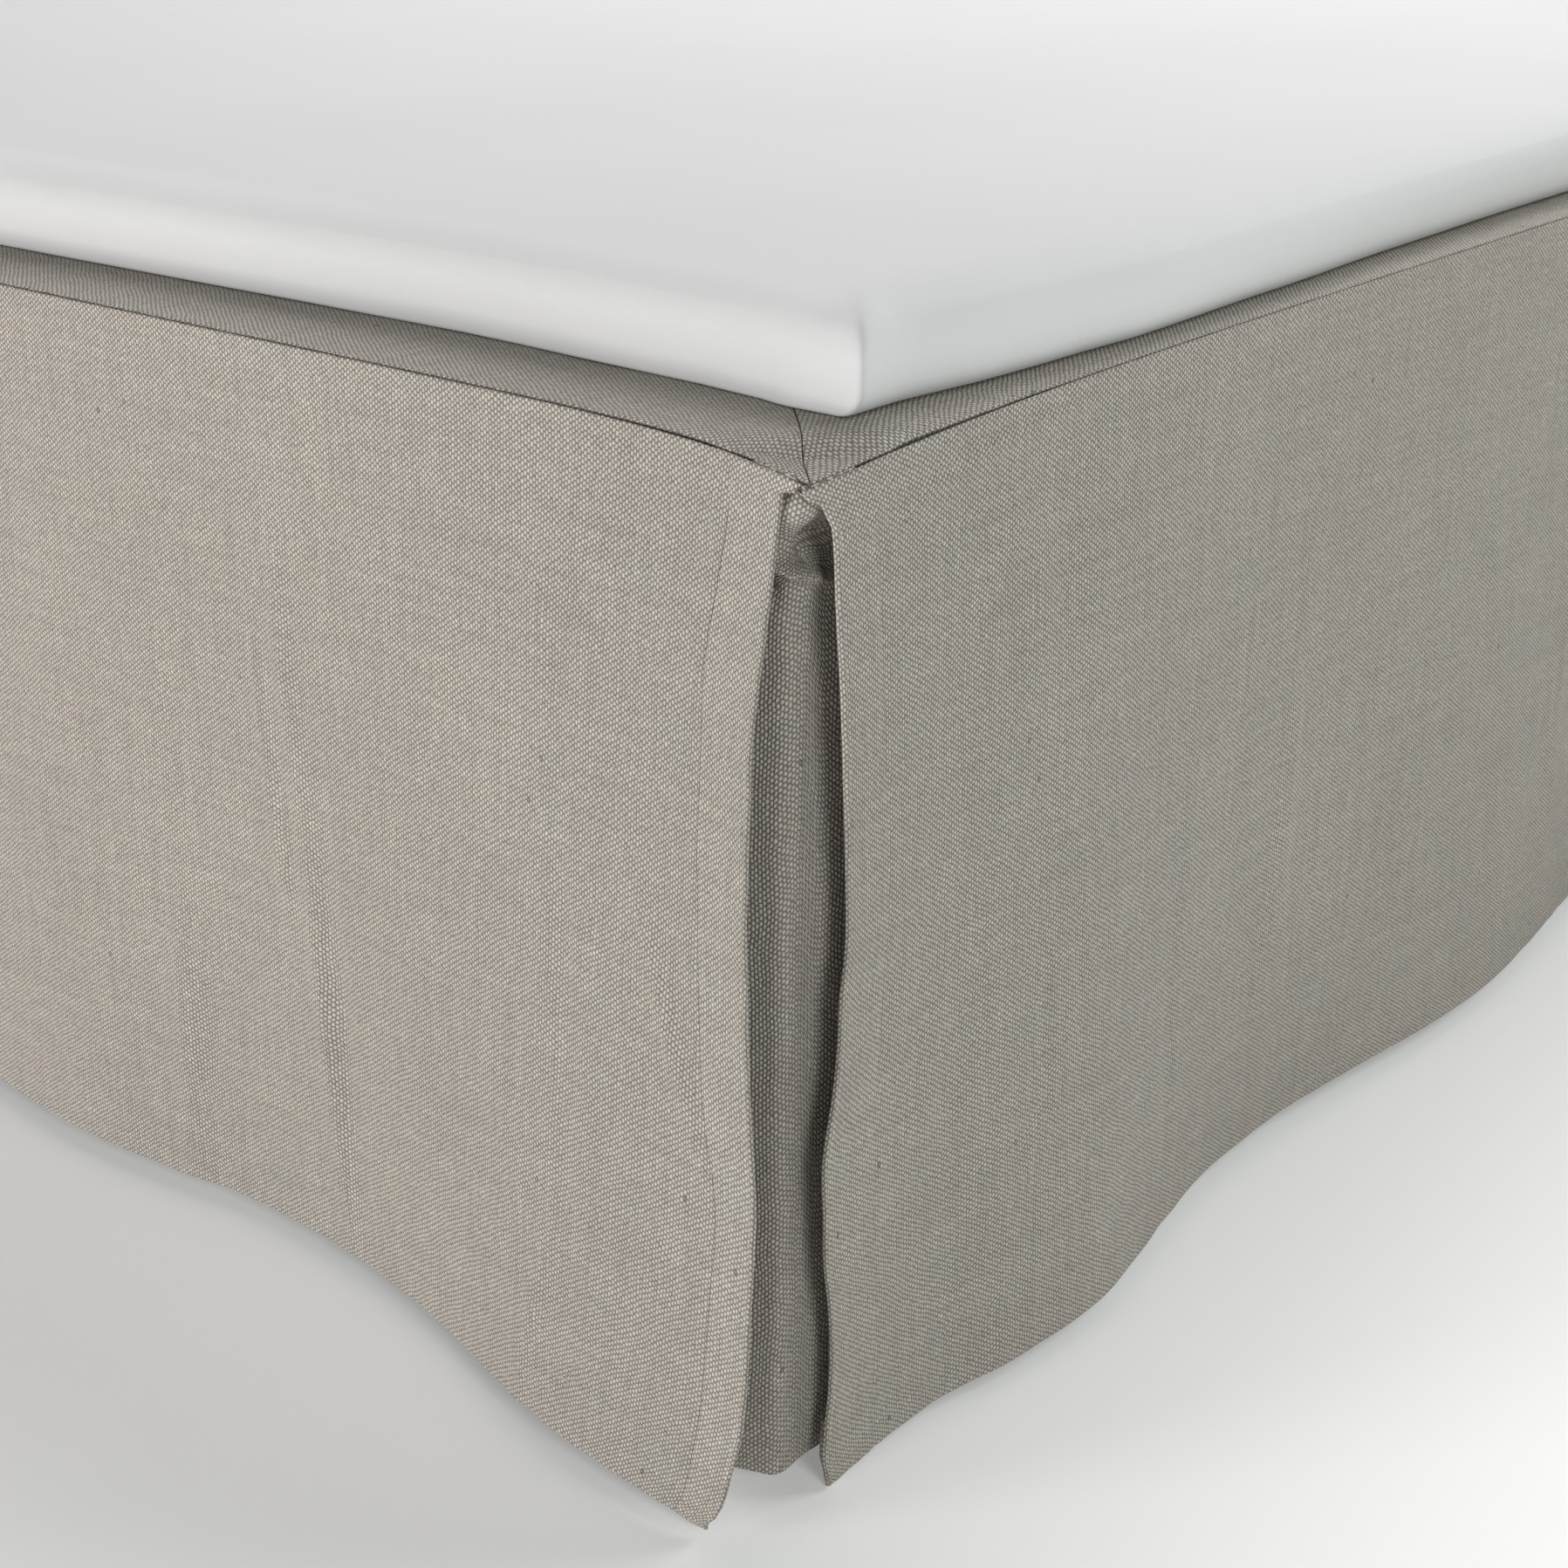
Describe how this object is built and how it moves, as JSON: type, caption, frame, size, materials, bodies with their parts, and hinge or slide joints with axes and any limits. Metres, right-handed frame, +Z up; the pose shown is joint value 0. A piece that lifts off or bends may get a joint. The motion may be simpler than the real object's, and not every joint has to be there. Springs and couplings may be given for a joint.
{
  "type": "bed skirt on a bed base with a mattress topper",
  "caption": "Greige basket-weave bed skirt with split corners and kick pleats, hanging from a bed base under a thin mattress topper.",
  "frame": {"origin": "on the floor, under the middle of the object's bounding box", "axes": "+Z up; -Y towards the foot of the bed, whose drop panel shows left of the split corner in the picture; +X towards the bed's right side"},
  "size_m": [1.629, 2.051, 0.5623],
  "materials": {
    "skirt_cloth": "matte greige basket weave of thick linen-look yarns",
    "deck_cloth": "matte plain cloth",
    "topper_cloth": "matte white stretch cover",
    "base_cloth": "matte woven upholstery cover",
    "leg_wood": "satin stained hardwood"
  },
  "bodies": {
    "root": {"skirt_foot": "skirt_cloth", "skirt_right": "skirt_cloth", "skirt_left": "skirt_cloth", "corner_insert_right": "skirt_cloth", "corner_insert_left": "skirt_cloth", "deck_band_foot": "skirt_cloth", "deck_band_right": "skirt_cloth", "deck_band_left": "skirt_cloth", "deck_panel": "deck_cloth", "topper": "topper_cloth", "bed_base": "base_cloth", "leg_foot_right": "leg_wood", "leg_foot_left": "leg_wood", "leg_middle_right": "leg_wood", "leg_middle_left": "leg_wood", "leg_head_right": "leg_wood", "leg_head_left": "leg_wood"}
  },
  "joints": []
}
